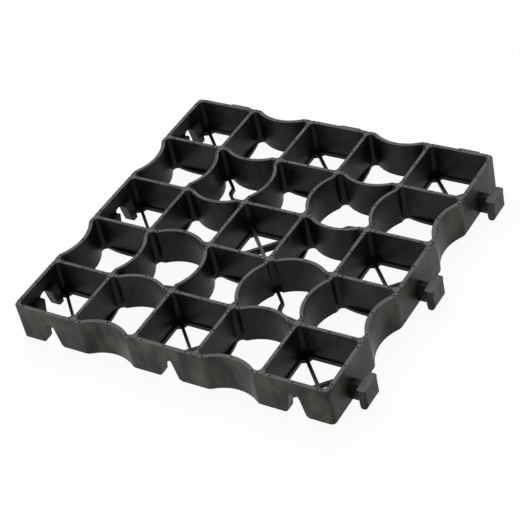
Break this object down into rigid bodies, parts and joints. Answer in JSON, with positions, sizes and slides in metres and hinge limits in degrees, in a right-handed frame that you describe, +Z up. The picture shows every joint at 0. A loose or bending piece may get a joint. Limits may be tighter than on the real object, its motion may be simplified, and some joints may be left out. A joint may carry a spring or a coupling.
{
  "type": "grass paver grid",
  "caption": "Square open-celled plastic ground grid with straight and wave-shaped walls, base braces, and hooks and slots on its sides that join it to like modules.",
  "frame": {"origin": "on the ground, at the middle of the part's overall box with the hooks", "axes": "+Z up, X and Y along the module's sides; hooks on the +X and +Y sides, slots in the -X and -Y sides"},
  "size_m": [0.3494, 0.3494, 0.038],
  "materials": {
    "recycled_plastic": "semi-matte moulded recycled plastic"
  },
  "bodies": {
    "root": {"paver_grid": "recycled_plastic"}
  },
  "joints": []
}
